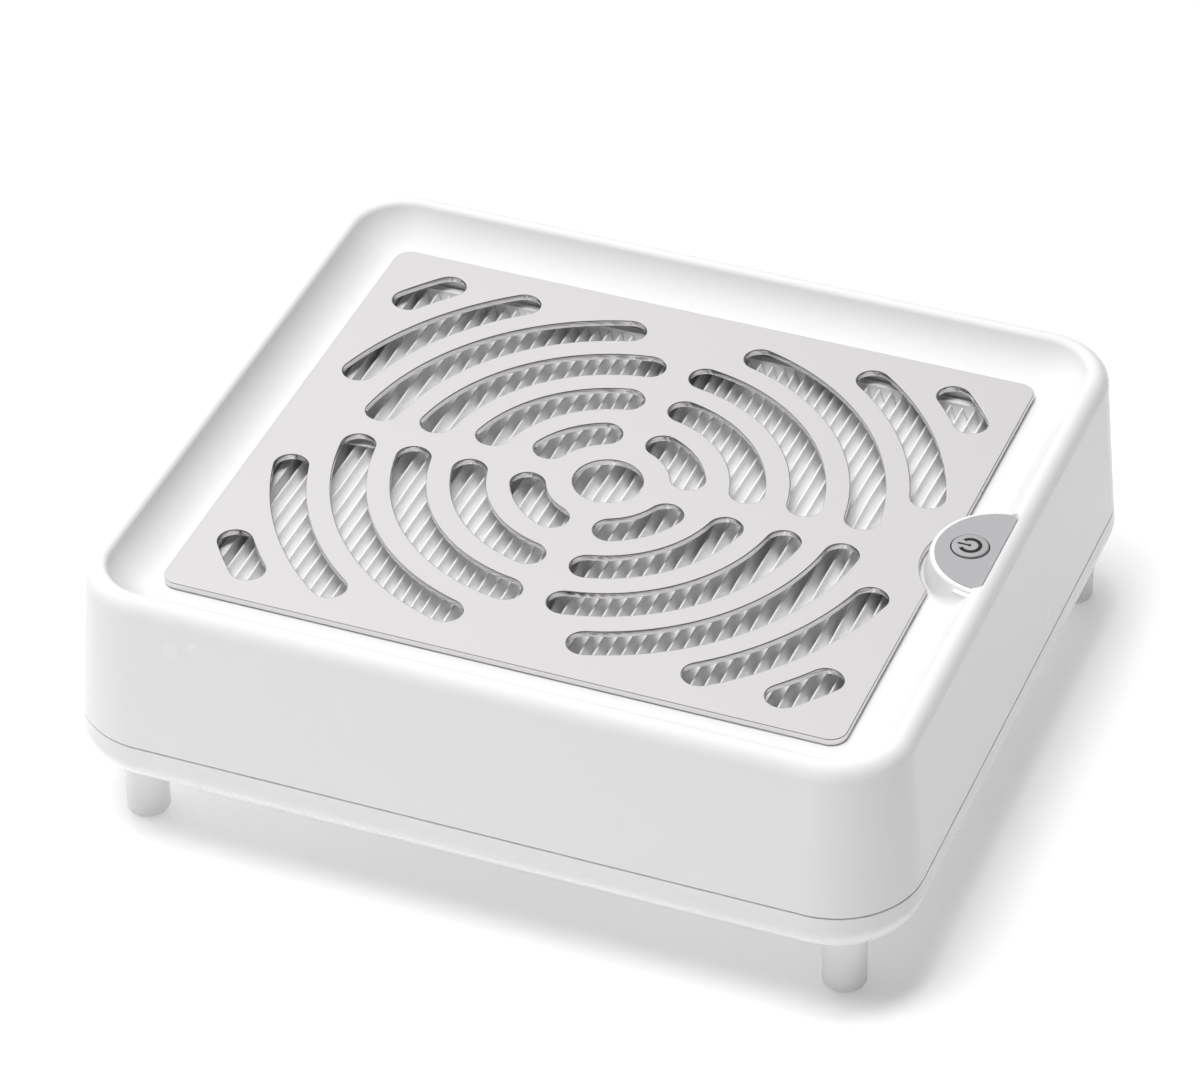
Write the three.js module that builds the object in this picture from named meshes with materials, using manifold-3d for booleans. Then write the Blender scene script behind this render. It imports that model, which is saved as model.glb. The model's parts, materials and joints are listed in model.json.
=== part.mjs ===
// Nail dust collector: a low table box with a slotted steel top plate, a lift-out pleated filter,
// and an axial fan that blows the cleaned air out through the floor, between four round feet.
// Millimetres. Origin on the table under the centre of the box, +X towards the button, +Y to the
// back, +Z up.
import * as THREE from "three";
import { mergeVertices } from "three/addons/utils/BufferGeometryUtils.js";
import Module from "manifold-3d";

const wasm = await Module();
wasm.setup();

// ---------------------------------------------------------------- driving dimensions
const GAP = 0.3; // clearance between neighbouring pieces
const WALL = 2.5; // moulded wall thickness

const body = {
  halfX: 110.2, // half length where the upright walls end under the rim
  halfY: 98.2, // half depth at the same height
  cornerRadius: 20,
  wallTop: 73.2, // height where the walls turn into the rim
  rimTop: 77.2,
  rimRound: 4,
  flare: 0.083, // the walls lean out by this much per millimetre of drop
  bottom: 20.4,
  bottomRound: 9,
  seam: 33.4, // parting line between the shell and the floor pan
};

const tray = { floor: 68.9, halfX: 104.2, halfY: 92.2, cornerRadius: 14, round: 7 };

const plate = {
  halfX: 91.6,
  halfY: 78.9,
  cornerRadius: 4.5,
  bottom: 69.2,
  top: 71,
  centreHole: 9.2,
  slotHalfWidth: 4.58,
  firstRing: 20.8, // radius of the innermost row of slots
  ringPitch: 15.5,
  // each row of slots in one quarter: from one angle to another, in degrees from the long axis
  rows: [
    [22.9, 67.1],
    [12.9, 77.1],
    [9.0, 81.0],
    [6.9, 73.8],
    [15.8, 52.9],
    [35.6, 42.8],
  ],
};

const boss = { x: 106, radiusLow: 19.4, radiusHigh: 17.7, top: 76.3, wall: 2.2, notchRadius: 20 };
const panel = { radius: 16.3, thickness: 0.9, cornerRadius: 2 };
const button = { x: 98.3, radius: 4.8, top: 76.65, stemRadius: 1.7, flangeRadius: 6.4 };

const well = { halfX: 85.5, halfY: 73, wall: 2.2, floor: 44.6, floorThickness: 2.2, ledgeTop: 49 };
const filter = { halfX: 84.9, halfY: 72.4, wall: 2.2, bottom: 50.6, top: 66.4, flange: 3 };
const pleats = { count: 49, pitch: 3.35, low: 52.1, high: 65.8, sheetDrop: 3, halfY: 69.9 };
const gasket = { bottom: 49.3, top: 50.3, width: 3.6 };
const pullTab = { fromX: -84.5, toX: -60, fromY: -5.5, toY: 7.5, bottom: 66.7, thickness: 0.5 };

const fan = {
  half: 60, // half side of the square frame
  bottom: 23.4,
  top: 43.4,
  duct: 57,
  hub: 20,
  tip: 55.6,
  blades: 7,
  holePitch: 105, // distance between the screw holes
  holeRadius: 2.3,
};

const feet = {
  radius: 5.75,
  frontX: 95.8,
  rearX: 102.2,
  y: 84.9,
  bottom: 0.4,
  padRadius: 4.4,
  padThickness: 1.2,
  postRadius: 4.4,
};

const inlet = { x: 60, z: 52, flangeRadius: 5.6, bodyRadius: 4, boreRadius: 2.9, length: 13 };
const board = { x: 98, z: 61.4, halfX: 7.5, halfY: 22, thickness: 1.6, postY: 18.5 };

// ---------------------------------------------------------------- materials
function material(color, roughness, metalness) {
  return new THREE.MeshStandardMaterial({ color, roughness, metalness });
}

const finishes = {
  shell: () => material(0xf4f4f5, 0.22, 0),
  steel: () => material(0xd4d0d0, 0.3, 1),
  silver: () => material(0xc2c2c6, 0.4, 0.8),
  fibre: () => material(0xf2f2f0, 0.9, 0),
  foam: () => material(0x3a3c40, 0.95, 0),
  rubber: () => material(0x55585c, 0.85, 0),
  black: () => material(0x1b1c1f, 0.5, 0),
  zinc: () => material(0xb9bbbe, 0.35, 1),
  copper: () => material(0xb06a3a, 0.45, 0.7),
  green: () => material(0x1f5a3c, 0.5, 0),
};

// ---------------------------------------------------------------- outlines
function roundedRectangle(halfX, halfY, radius) {
  const outline = new THREE.Shape();
  const x = halfX - radius;
  const y = halfY - radius;
  outline.absarc(x, y, radius, 0, Math.PI / 2, false);
  outline.absarc(-x, y, radius, Math.PI / 2, Math.PI, false);
  outline.absarc(-x, -y, radius, Math.PI, Math.PI * 1.5, false);
  outline.absarc(x, -y, radius, Math.PI * 1.5, Math.PI * 2, false);
  outline.closePath();
  return outline;
}

function circle(radius, x = 0, y = 0) {
  const outline = new THREE.Shape();
  outline.absarc(x, y, radius, 0, Math.PI * 2, false);
  return outline;
}

function ring(outer, inner) {
  const outline = circle(outer);
  outline.holes.push(new THREE.Path().absarc(0, 0, inner, 0, Math.PI * 2, true));
  return outline;
}

// A slot that follows a circle about the origin, with round ends, between two angles in radians.
function arcSlot(radius, halfWidth, from, to) {
  const slot = new THREE.Path();
  const end = (angle) => [radius * Math.cos(angle), radius * Math.sin(angle)];
  slot.absarc(0, 0, radius + halfWidth, from, to, false);
  slot.absarc(...end(to), halfWidth, to, to + Math.PI, false);
  slot.absarc(0, 0, radius - halfWidth, to, from, true);
  slot.absarc(...end(from), halfWidth, from + Math.PI, from + Math.PI * 2, false);
  slot.closePath();
  return slot;
}

// ---------------------------------------------------------------- solids
function toSolid(geometry) {
  const loose = geometry.index ? geometry.toNonIndexed() : geometry;
  const bare = new THREE.BufferGeometry();
  bare.setAttribute("position", loose.getAttribute("position"));
  const merged = mergeVertices(bare, 1e-4);
  const corners = merged.index.array;
  const kept = [];
  for (let i = 0; i < corners.length; i += 3) {
    const [a, b, c] = corners.slice(i, i + 3);
    if (a !== b && b !== c && a !== c) kept.push(a, b, c);
  }
  const vertProperties = new Float32Array(merged.attributes.position.array);
  const triVerts = new Uint32Array(kept);
  return new wasm.Manifold(new wasm.Mesh({ numProp: 3, vertProperties, triVerts }));
}

// An outline raised straight up between two heights.
function prism(outline, low, high, curveSegments = 4) {
  const options = { depth: high - low, bevelEnabled: false, curveSegments };
  return new THREE.ExtrudeGeometry(outline, options).translate(0, 0, low);
}

// The same with its upper and lower edges rounded.
function roundedPrism(outline, low, high, round, curveSegments = 4, bevelSegments = 3) {
  const options = {
    depth: high - low - 2 * round,
    bevelThickness: round,
    bevelSize: round,
    bevelOffset: -round,
    bevelSegments,
    curveSegments,
  };
  return new THREE.ExtrudeGeometry(outline, options).translate(0, 0, low + round);
}

function rod(radius, low, high, x = 0, y = 0, sides = 16) {
  const height = high - low;
  const geometry = new THREE.CylinderGeometry(radius, radius, height, sides).rotateX(Math.PI / 2);
  return toSolid(geometry.translate(x, y, low + height / 2));
}

function block(fromX, toX, fromY, toY, low, high) {
  const geometry = new THREE.BoxGeometry(toX - fromX, toY - fromY, high - low);
  return toSolid(geometry.translate((fromX + toX) / 2, (fromY + toY) / 2, (low + high) / 2));
}

// A round piece turned about the vertical axis through x, y from radius and height pairs.
function turned(profile, x = 0, y = 0, sides = 20) {
  const points = profile.map(([radius, height]) => new THREE.Vector2(radius, height));
  const geometry = new THREE.LatheGeometry(points, sides).rotateX(Math.PI / 2);
  return toSolid(geometry.translate(x, y, 0));
}

function unite(solids) {
  return solids.reduce((sum, next) => sum.add(next));
}

function mirrored(place) {
  return [1, -1].flatMap((sx) => [1, -1].map((sy) => place(sx, sy)));
}

// Leans the walls out towards the bottom.
function flared(geometry) {
  const spots = geometry.getAttribute("position");
  for (let i = 0; i < spots.count; i++) {
    const [x, y, z] = [spots.getX(i), spots.getY(i), spots.getZ(i)];
    const lean = body.flare * Math.max(body.wallTop - z, 0);
    spots.setXYZ(i, x * (1 + lean / body.halfX), y * (1 + lean / body.halfY), z);
  }
  return geometry;
}

// The whole outer form, closed, set in from the real surface by a margin.
function outerForm(margin = 0, drop = 0) {
  const outline = roundedRectangle(
    body.halfX - margin,
    body.halfY - margin,
    body.cornerRadius - margin,
  );
  const top = body.rimTop - margin - drop;
  const bottom = body.bottom + margin;
  const upper = flared(roundedPrism(outline, 5, top, Math.max(body.rimRound - margin, 1)));
  const lower = flared(roundedPrism(outline, bottom, 120, body.bottomRound - margin));
  return toSolid(upper).intersect(toSolid(lower));
}

const WIDE = 200; // larger than the object, for cutting blocks

function above(height) {
  return block(-WIDE, WIDE, -WIDE, WIDE, height, WIDE);
}

function below(height) {
  return block(-WIDE, WIDE, -WIDE, WIDE, -WIDE, height);
}

const footPlaces = {
  front_left: [-feet.frontX, -feet.y],
  front_right: [feet.frontX, -feet.y],
  rear_left: [-feet.rearX, feet.y],
  rear_right: [feet.rearX, feet.y],
};

// ---------------------------------------------------------------- outer shell
function halfMoon(radius, cornerRadius) {
  const outline = new THREE.Shape();
  const reach = Math.sqrt((radius - cornerRadius) ** 2 - cornerRadius ** 2);
  const turn = Math.atan2(reach, -cornerRadius);
  outline.absarc(-cornerRadius, reach, cornerRadius, 0, turn, false);
  outline.absarc(0, 0, radius, turn, Math.PI * 2 - turn, false);
  outline.absarc(-cornerRadius, -reach, cornerRadius, -turn, 0, false);
  outline.closePath();
  return outline;
}

function makeUpperHousing() {
  const dishOutline = roundedRectangle(tray.halfX, tray.halfY, tray.cornerRadius);
  const dish = flared(roundedPrism(dishOutline, tray.floor, 120, tray.round));
  let shell = outerForm().intersect(above(body.seam + GAP / 2)).subtract(toSolid(dish));

  // button boss: a blunt cone that grows out of the tray floor into the rim
  const cone = turned(
    [
      [0, tray.floor - 1],
      [boss.radiusLow, tray.floor - 1],
      [boss.radiusLow, plate.top - 0.4],
      [boss.radiusHigh + 0.5, boss.top - 0.7],
      [boss.radiusHigh - 0.4, boss.top],
      [0, boss.top],
    ],
    boss.x,
    0,
    48,
  );
  const rimSide = block(boss.x + 0.2, WIDE, -WIDE, WIDE, 0, WIDE);
  shell = shell.add(cone.subtract(rimSide));

  // the hollow under the tray, and the hollow inside the rim
  const hollow = outerForm(WALL).intersect(below(tray.floor - WALL));
  const rimHollow = outerForm(WALL, 1).subtract(
    toSolid(prism(roundedRectangle(tray.halfX - 0.5, tray.halfY - 0.5, 13), 0, 120)),
  );
  shell = shell.subtract(hollow).subtract(rimHollow.intersect(below(body.wallTop)));
  const bossHollow = rod(boss.radiusHigh - 3, 60, boss.top - boss.wall - 0.9, boss.x, 0, 32);
  shell = shell.subtract(bossHollow.subtract(block(boss.x - 1.5, WIDE, -WIDE, WIDE, 0, WIDE)));

  // filter well with its floor, the ledge that carries the filter, and the round fan inlet
  const wellOutside = roundedRectangle(well.halfX + well.wall, well.halfY + well.wall, 5);
  const wellInside = roundedRectangle(well.halfX, well.halfY, 3);
  const wellSolid = toSolid(prism(wellOutside, well.floor, tray.floor - 0.5));
  const wellRoom = toSolid(prism(wellInside, well.floor + well.floorThickness, WIDE));
  const ledgeRing = roundedRectangle(well.halfX + 1, well.halfY + 1, 3);
  ledgeRing.holes.push(roundedRectangle(well.halfX - 4.5, well.halfY - 4.5, 2));
  const ledge = toSolid(prism(ledgeRing, well.floor + 1, well.ledgeTop));
  shell = shell.add(wellSolid).subtract(wellRoom).add(ledge);
  shell = shell.subtract(rod(fan.duct - 0.5, 0, well.floor + 6, 0, 0, 48));
  for (const hole of fanScrewPlaces()) {
    shell = shell.subtract(rod(fan.holeRadius, 0, well.floor + 6, ...hole, 12));
  }

  // screw posts above the feet, and posts for the control board
  const mould = outerForm(1);
  for (const [x, y] of Object.values(footPlaces)) {
    const post = rod(feet.postRadius, body.bottom + 2.9, tray.floor - 1, x, y, 20);
    shell = shell.add(post.intersect(mould)).subtract(rod(1.75, 0, 36, x, y, 12));
  }
  for (const side of [1, -1]) {
    const y = side * board.postY;
    const post = rod(2.6, board.z + board.thickness / 2 + GAP, tray.floor - 1, board.x, y, 16);
    shell = shell.add(post).subtract(rod(1.3, 0, board.z + 6, board.x, y, 10));
  }

  // seats for the half-moon panel, the button and the power socket
  const seat = halfMoon(panel.radius + 2 * GAP, panel.cornerRadius + GAP);
  const seatFloor = boss.top - panel.thickness - GAP;
  shell = shell.subtract(toSolid(prism(seat, seatFloor, 90, 9).translate(boss.x + GAP, 0, 0)));
  shell = shell.subtract(rod(button.radius + GAP, 60, 90, button.x, 0, 28));
  const socketPad = rod(8.5, 0, 9, 0, 0, 24);
  const padPlace = (solid, y) => solid.rotate([-90, 0, 0]).translate([inlet.x, y, inlet.z]);
  shell = shell.add(padPlace(socketPad, 89).intersect(outerForm(0.6)));
  shell = shell.subtract(padPlace(rod(inlet.bodyRadius + GAP, 0, 30, 0, 0, 24), 80));
  shell = shell.subtract(padPlace(rod(inlet.flangeRadius + 1, 0, 12, 0, 0, 28), 97.6));
  shell = shell.subtract(padPlace(rod(7.2, 0, 14, 0, 0, 24), 78));
  return shell;
}

function makeBottomCover() {
  let pan = outerForm().intersect(below(body.seam - GAP / 2));
  pan = pan.subtract(outerForm(WALL));
  // a thin tongue that locates the pan inside the shell
  const inside = outerForm(WALL + 1.6);
  const root = outerForm(WALL - 0.4).intersect(below(body.seam - GAP / 2));
  const tongue = outerForm(WALL + GAP).intersect(below(body.seam + 2.4));
  pan = pan.add(root.add(tongue).subtract(inside).intersect(above(body.seam - 3)));

  // exhaust slots under the fan, in rings of long arcs
  for (const radius of [28, 39, 50]) {
    const count = 6;
    for (let i = 0; i < count; i++) {
      const from = (i + 0.12) * ((Math.PI * 2) / count);
      const to = (i + 0.88) * ((Math.PI * 2) / count);
      const slot = new THREE.Shape(arcSlot(radius, 2.6, from, to).getPoints(2));
      pan = pan.subtract(toSolid(prism(slot, 0, 30)));
    }
  }

  for (const [x, y] of Object.values(footPlaces)) {
    pan = pan.subtract(rod(feet.postRadius + GAP, body.bottom + 2.6, 60, x, y, 20));
    pan = pan.subtract(rod(1.9, 0, 60, x, y, 12));
  }
  return pan;
}

function makeFoot(x, y) {
  const leg = turned(
    [
      [0, feet.bottom],
      [feet.radius - 0.9, feet.bottom],
      [feet.radius - 0.25, feet.bottom + 0.3],
      [feet.radius, feet.bottom + 1],
      [feet.radius, 30],
      [0, 30],
    ],
    x,
    y,
    18,
  );
  const underside = outerForm().translate([0, 0, -GAP]);
  const screwHead = rod(3.3, 0, 12, x, y, 14);
  return leg
    .subtract(underside)
    .intersect(below(body.bottom + 6))
    .subtract(rod(feet.padRadius + GAP, -1, feet.padThickness + GAP, x, y))
    .subtract(screwHead)
    .subtract(rod(1.8, 0, 40, x, y, 10));
}

function makeFootPad(x, y) {
  return rod(feet.padRadius, 0, feet.padThickness, x, y, 16);
}

// A pan-head screw that points up or down from the underside of its head.
function makeScrew(x, y, seat, length, shank, head, headHeight, up) {
  const sign = up ? 1 : -1;
  const ordered = (a, b) => [Math.min(a, b), Math.max(a, b)];
  const shaft = rod(shank, ...ordered(seat - sign * 0.5, seat + sign * length), x, y, 8);
  const cap = rod(head, ...ordered(seat, seat - sign * headHeight), x, y, 14);
  const recess = ordered(seat - sign * (headHeight + 1), seat - sign * (headHeight - 0.8));
  const crossA = block(x - 1.6, x + 1.6, y - 0.35, y + 0.35, ...recess);
  const crossB = block(x - 0.35, x + 0.35, y - 1.6, y + 1.6, ...recess);
  return shaft.add(cap).subtract(crossA).subtract(crossB);
}

// ---------------------------------------------------------------- top plate and button
function makeGrillePlate() {
  const outline = roundedRectangle(plate.halfX, plate.halfY, plate.cornerRadius);
  outline.holes.push(new THREE.Path().absarc(0, 0, plate.centreHole, 0, Math.PI * 2, true));
  for (let quarter = 0; quarter < 4; quarter++) {
    plate.rows.forEach(([from, to], row) => {
      const radius = plate.firstRing + plate.ringPitch * row;
      const mirror = quarter % 2 === 1;
      const start = (mirror ? 90 - to : from) + 90 * quarter;
      const stop = (mirror ? 90 - from : to) + 90 * quarter;
      const [a, b] = [start, stop].map(THREE.MathUtils.degToRad);
      outline.holes.push(arcSlot(radius, plate.slotHalfWidth, a, b));
    });
  }
  const sheet = toSolid(prism(outline, plate.bottom, plate.top, 3));
  return sheet.subtract(rod(boss.notchRadius, 60, 80, boss.x, 0, 64));
}

function makeButtonPanel() {
  const outline = halfMoon(panel.radius, panel.cornerRadius);
  const inlay = prism(outline, boss.top - panel.thickness, boss.top, 9);
  const sheet = toSolid(inlay.translate(boss.x, 0, 0));
  return sheet.subtract(rod(button.radius + GAP, 60, 90, button.x, 0, 24));
}

function makePowerButton() {
  const flangeTop = boss.top - boss.wall - 0.9 - GAP - 0.2;
  return turned(
    [
      [0, 68.6],
      [button.stemRadius, 68.6],
      [button.stemRadius, flangeTop - 1],
      [button.flangeRadius, flangeTop - 1],
      [button.flangeRadius, flangeTop],
      [button.radius, flangeTop],
      [button.radius, button.top - 0.4],
      [button.radius - 0.4, button.top],
      [0, button.top + 0.15],
    ],
    button.x,
    0,
    24,
  );
}

// ---------------------------------------------------------------- filter
function makeFilterFrame() {
  const { halfX, halfY, wall, bottom, top, flange } = filter;
  const outside = toSolid(prism(roundedRectangle(halfX, halfY, 2.5), bottom, top));
  const room = roundedRectangle(halfX - wall, halfY - wall, 1);
  const window = roundedRectangle(halfX - wall - flange, halfY - wall - flange, 1);
  return outside
    .subtract(toSolid(prism(room, bottom + 1.2, 90)))
    .subtract(toSolid(prism(window, 0, 90)));
}

function makePleatedMedia() {
  const outline = new THREE.Shape();
  const startX = (-pleats.count * pleats.pitch) / 2;
  const crest = pleats.high;
  const valley = pleats.low + pleats.sheetDrop;
  const edge = [];
  for (let i = 0; i <= pleats.count * 2; i++) {
    edge.push([startX + (i * pleats.pitch) / 2, i % 2 ? crest : valley]);
  }
  outline.moveTo(...edge[0]);
  for (const [x, z] of edge.slice(1)) outline.lineTo(x, z);
  for (const [x, z] of edge.reverse()) outline.lineTo(x, z - pleats.sheetDrop);
  outline.closePath();
  const options = { depth: 2 * pleats.halfY, bevelEnabled: false };
  const geometry = new THREE.ExtrudeGeometry(outline, options).rotateX(Math.PI / 2);
  return toSolid(geometry.translate(0, pleats.halfY, 0));
}

function makeFilterGasket() {
  const outline = roundedRectangle(filter.halfX, filter.halfY, 2.5);
  const inside = [filter.halfX - gasket.width, filter.halfY - gasket.width];
  outline.holes.push(roundedRectangle(...inside, 1));
  return toSolid(prism(outline, gasket.bottom, gasket.top, 4));
}

function makePullTab() {
  const { fromX, toX, fromY, toY, bottom, thickness } = pullTab;
  const outline = roundedRectangle((toX - fromX) / 2, (toY - fromY) / 2, 2);
  const strip = prism(outline, bottom, bottom + thickness, 4);
  return toSolid(strip.translate((fromX + toX) / 2, (fromY + toY) / 2, 0));
}

// ---------------------------------------------------------------- fan
function fanScrewPlaces() {
  const reach = fan.holePitch / 2;
  return mirrored((sx, sy) => [sx * reach, sy * reach]);
}

function makeFanFrame() {
  let frame = toSolid(prism(roundedRectangle(fan.half, fan.half, 6), fan.bottom, fan.top, 5));
  frame = frame.subtract(rod(fan.duct, 0, 60, 0, 0, 48));
  for (const hole of fanScrewPlaces()) {
    frame = frame.subtract(rod(fan.holeRadius, 0, 60, ...hole, 12));
  }
  for (let i = 0; i < 4; i++) {
    const strut = block(18, fan.duct + 1, -2, 2, fan.bottom, fan.bottom + 3);
    frame = frame.add(strut.rotate([0, 0, 45 + 90 * i]));
  }
  // motor base with the tube that holds the bearings
  const base = rod(19.5, fan.bottom, fan.bottom + 2, 0, 0, 32);
  const tube = rod(4.6, fan.bottom, fan.bottom + 13.5, 0, 0, 20);
  return frame.add(base).add(tube).subtract(rod(3.3, fan.bottom + 1, 60, 0, 0, 20));
}

// One fan blade: a thin board, twisted from a steep root to a flat tip.
function makeBlade() {
  const span = fan.tip - fan.hub + 1.5;
  const chord = 25;
  const board = new THREE.BoxGeometry(span, chord, 1.5, 4, 2, 1);
  const spots = board.getAttribute("position");
  for (let i = 0; i < spots.count; i++) {
    const x = spots.getX(i);
    const share = (x + span / 2) / span;
    const width = THREE.MathUtils.lerp(0.72, 1.12, share);
    const pitch = THREE.MathUtils.degToRad(THREE.MathUtils.lerp(44, 24, share));
    const y = spots.getY(i) * width;
    const bow = 1.8 * (1 - (2 * y) ** 2 / (chord * width) ** 2);
    const z = spots.getZ(i) + bow;
    const turnedY = y * Math.cos(pitch) - z * Math.sin(pitch);
    const turnedZ = y * Math.sin(pitch) + z * Math.cos(pitch);
    spots.setXYZ(i, x + fan.hub - 1.5 + span / 2, turnedY, turnedZ);
  }
  return toSolid(board);
}

const hubTop = fan.top - 1;

function makeImpeller() {
  const low = fan.bottom + 3.6;
  const cup = turned(
    [
      [17.6, low],
      [fan.hub, low],
      [fan.hub, hubTop - 1.2],
      [fan.hub - 1.2, hubTop],
      [1.9, hubTop],
      [1.9, hubTop - 2],
      [17.6, hubTop - 2],
      [17.6, low],
    ],
    0,
    0,
    32,
  );
  const blade = makeBlade().translate([0, 0, fan.bottom + 11.4]);
  const turns = Array.from({ length: fan.blades }, (_, i) => (360 / fan.blades) * i);
  const inside = rod(fan.tip, fan.bottom + 1, fan.top - 0.4, 0, 0, 56);
  const bore = rod(17.6, 0, hubTop - 2, 0, 0, 32);
  const blades = unite(turns.map((angle) => blade.rotate([0, 0, angle])));
  return cup.add(blades.intersect(inside).subtract(bore));
}

function makeRotorCup() {
  const low = fan.bottom + 4;
  const top = hubTop - 2 - GAP;
  return turned(
    [
      [15.6, low],
      [17.3, low],
      [17.3, top],
      [1.9, top],
      [1.9, top - 1.2],
      [15.6, top - 1.2],
      [15.6, low],
    ],
    0,
    0,
    32,
  );
}

function makeShaft() {
  return rod(1.5, fan.bottom + 1.6, hubTop - 0.4, 0, 0, 20);
}

function makeBearing(low) {
  return turned(
    [
      [1.55, low],
      [3, low],
      [3, low + 2.5],
      [1.55, low + 2.5],
      [1.55, low],
    ],
    0,
    0,
    24,
  );
}

function makeStator() {
  const low = fan.bottom + 5;
  const high = fan.bottom + 12;
  let core = rod(8, low, high, 0, 0, 24);
  for (let i = 0; i < 4; i++) {
    const neck = block(5, 13, -2, 2, low + 1, high - 1);
    const coil = block(8.2, 12.4, -4, 4, low, high);
    const shoe = rod(14.9, low + 1, high - 1, 0, 0, 32)
      .subtract(rod(12.8, 0, 60, 0, 0, 32))
      .intersect(block(8, 16, -8, 8, low, high));
    const pole = neck.add(coil).add(shoe);
    core = core.add(pole.rotate([0, 0, 90 * i]));
  }
  return core.subtract(rod(4.9, 0, 60, 0, 0, 20));
}

function makeFanBoard() {
  const low = fan.bottom + 2.4;
  return rod(14, low, low + 1, 0, 0, 32).subtract(rod(4.9, 0, 60, 0, 0, 20));
}

function makeFanGuard() {
  const low = well.floor + well.floorThickness + GAP;
  const high = low + 1.3;
  const rings = [16, 30, 44, 58].map((r) => toSolid(prism(ring(r + 0.8, r - 0.8), low, high, 12)));
  const spokes = [45, 135].map((angle) => {
    return block(-59, 59, -0.8, 0.8, low, high).rotate([0, 0, angle]);
  });
  const lugs = fanScrewPlaces().map(([x, y]) => {
    const arm = block(57, 71, -2.6, 2.6, low, high);
    return arm.rotate([0, 0, THREE.MathUtils.radToDeg(Math.atan2(y, x))]);
  });
  const eyes = fanScrewPlaces().map(([x, y]) => rod(4.6, low, high, x, y, 14));
  let guard = unite([...rings, ...spokes, ...lugs, ...eyes]);
  for (const [x, y] of fanScrewPlaces()) guard = guard.subtract(rod(2.3, 0, 90, x, y, 8));
  return guard;
}

// ---------------------------------------------------------------- electrics
function makeControlBoard() {
  const { x, z, halfX, halfY, thickness } = board;
  const low = z - thickness / 2;
  let sheet = block(x - halfX, x + halfX, -halfY, halfY, low, z + thickness / 2);
  for (const side of [1, -1]) {
    sheet = sheet.subtract(rod(1.5, 0, 90, x, side * board.postY, 12));
  }
  return sheet;
}

function makeChip(x, y, halfX, halfY, height) {
  const top = board.z - board.thickness / 2 - GAP;
  return block(x - halfX, x + halfX, y - halfY, y + halfY, top - height, top);
}

function makeSwitchBody() {
  const low = board.z + board.thickness / 2 + GAP;
  const shell = block(button.x - 3, button.x + 3, -3, 3, low, low + 3.6);
  return shell.subtract(rod(2, low + 1, 90, button.x, 0, 16));
}

function makeSwitchPlunger() {
  return rod(button.stemRadius, 64.4, 68.3, button.x, 0, 16);
}

// A piece turned about the front-to-back axis through the power socket.
function socketPiece(profile, y) {
  const solid = turned(profile, 0, 0, 20);
  return solid.rotate([-90, 0, 0]).translate([inlet.x, y, inlet.z]);
}

function makeInlet() {
  const { flangeRadius, bodyRadius, boreRadius, length } = inlet;
  return socketPiece(
    [
      [0, 0],
      [bodyRadius, 0],
      [bodyRadius, length - 1.6],
      [flangeRadius, length - 1.6],
      [flangeRadius, length - 0.3],
      [flangeRadius - 0.3, length],
      [boreRadius, length],
      [boreRadius, 3],
      [1, 3],
      [1, length - 1],
      [0, length - 1],
    ],
    86.3,
  );
}

function makeInletNut() {
  return socketPiece(
    [
      [bodyGap, 0],
      [6.4, 0],
      [6.4, 2.2],
      [bodyGap, 2.2],
      [bodyGap, 0],
    ],
    89.4,
  );
}

const bodyGap = inlet.bodyRadius + GAP;

// A short lead held inside the shell: a round section drawn along a smooth curve.
function makeLead(radius, places) {
  const points = places.map((place) => new THREE.Vector3(...place));
  const path = new THREE.CatmullRomCurve3(points, false, "centripetal");
  const section = circle(radius);
  const options = { steps: 20, extrudePath: path, curveSegments: 4, bevelEnabled: false };
  return toSolid(new THREE.ExtrudeGeometry(section, options));
}

// ---------------------------------------------------------------- assembly
const root = new THREE.Group();

function place(name, solid, finish) {
  const { vertProperties, triVerts, numProp, numVert } = solid.getMesh();
  const spots = new Float32Array(numVert * 3);
  for (let i = 0; i < numVert; i++) {
    spots.set(vertProperties.subarray(i * numProp, i * numProp + 3), i * 3);
  }
  const geometry = new THREE.BufferGeometry();
  geometry.setAttribute("position", new THREE.BufferAttribute(spots, 3));
  geometry.setIndex(new THREE.BufferAttribute(new Uint32Array(triVerts), 1));
  geometry.computeVertexNormals();
  const mesh = new THREE.Mesh(geometry, finishes[finish]());
  mesh.name = name;
  root.add(mesh);
}

place("upper_housing", makeUpperHousing(), "shell");
place("bottom_cover", makeBottomCover(), "shell");
for (const [corner, [x, y]] of Object.entries(footPlaces)) {
  place(`foot_${corner}`, makeFoot(x, y), "shell");
  place(`foot_pad_${corner}`, makeFootPad(x, y), "rubber");
  place(`foot_screw_${corner}`, makeScrew(x, y, 12 - GAP, 22, 1.45, 2.9, 2, true), "zinc");
}

place("grille_plate", makeGrillePlate(), "steel");
place("button_panel", makeButtonPanel(), "silver");
place("power_button", makePowerButton(), "silver");

place("filter_frame", makeFilterFrame(), "shell");
place("filter_media", makePleatedMedia(), "fibre");
place("filter_gasket", makeFilterGasket(), "foam");
place("filter_pull_tab", makePullTab(), "shell");

place("fan_frame", makeFanFrame(), "black");
place("impeller", makeImpeller(), "black");
place("rotor_cup", makeRotorCup(), "zinc");
place("motor_shaft", makeShaft(), "zinc");
place("bearing_lower", makeBearing(fan.bottom + 1.5), "zinc");
place("bearing_upper", makeBearing(fan.bottom + 10.8), "zinc");
place("stator", makeStator(), "copper");
place("fan_board", makeFanBoard(), "green");
place("fan_guard", makeFanGuard(), "zinc");
fanScrewPlaces().forEach(([x, y], i) => {
  const seat = well.floor + well.floorThickness + GAP + 1.3 + GAP;
  place(`fan_screw_${i + 1}`, makeScrew(x, y, seat, 16, 2, 3.8, 2, false), "zinc");
});

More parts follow.
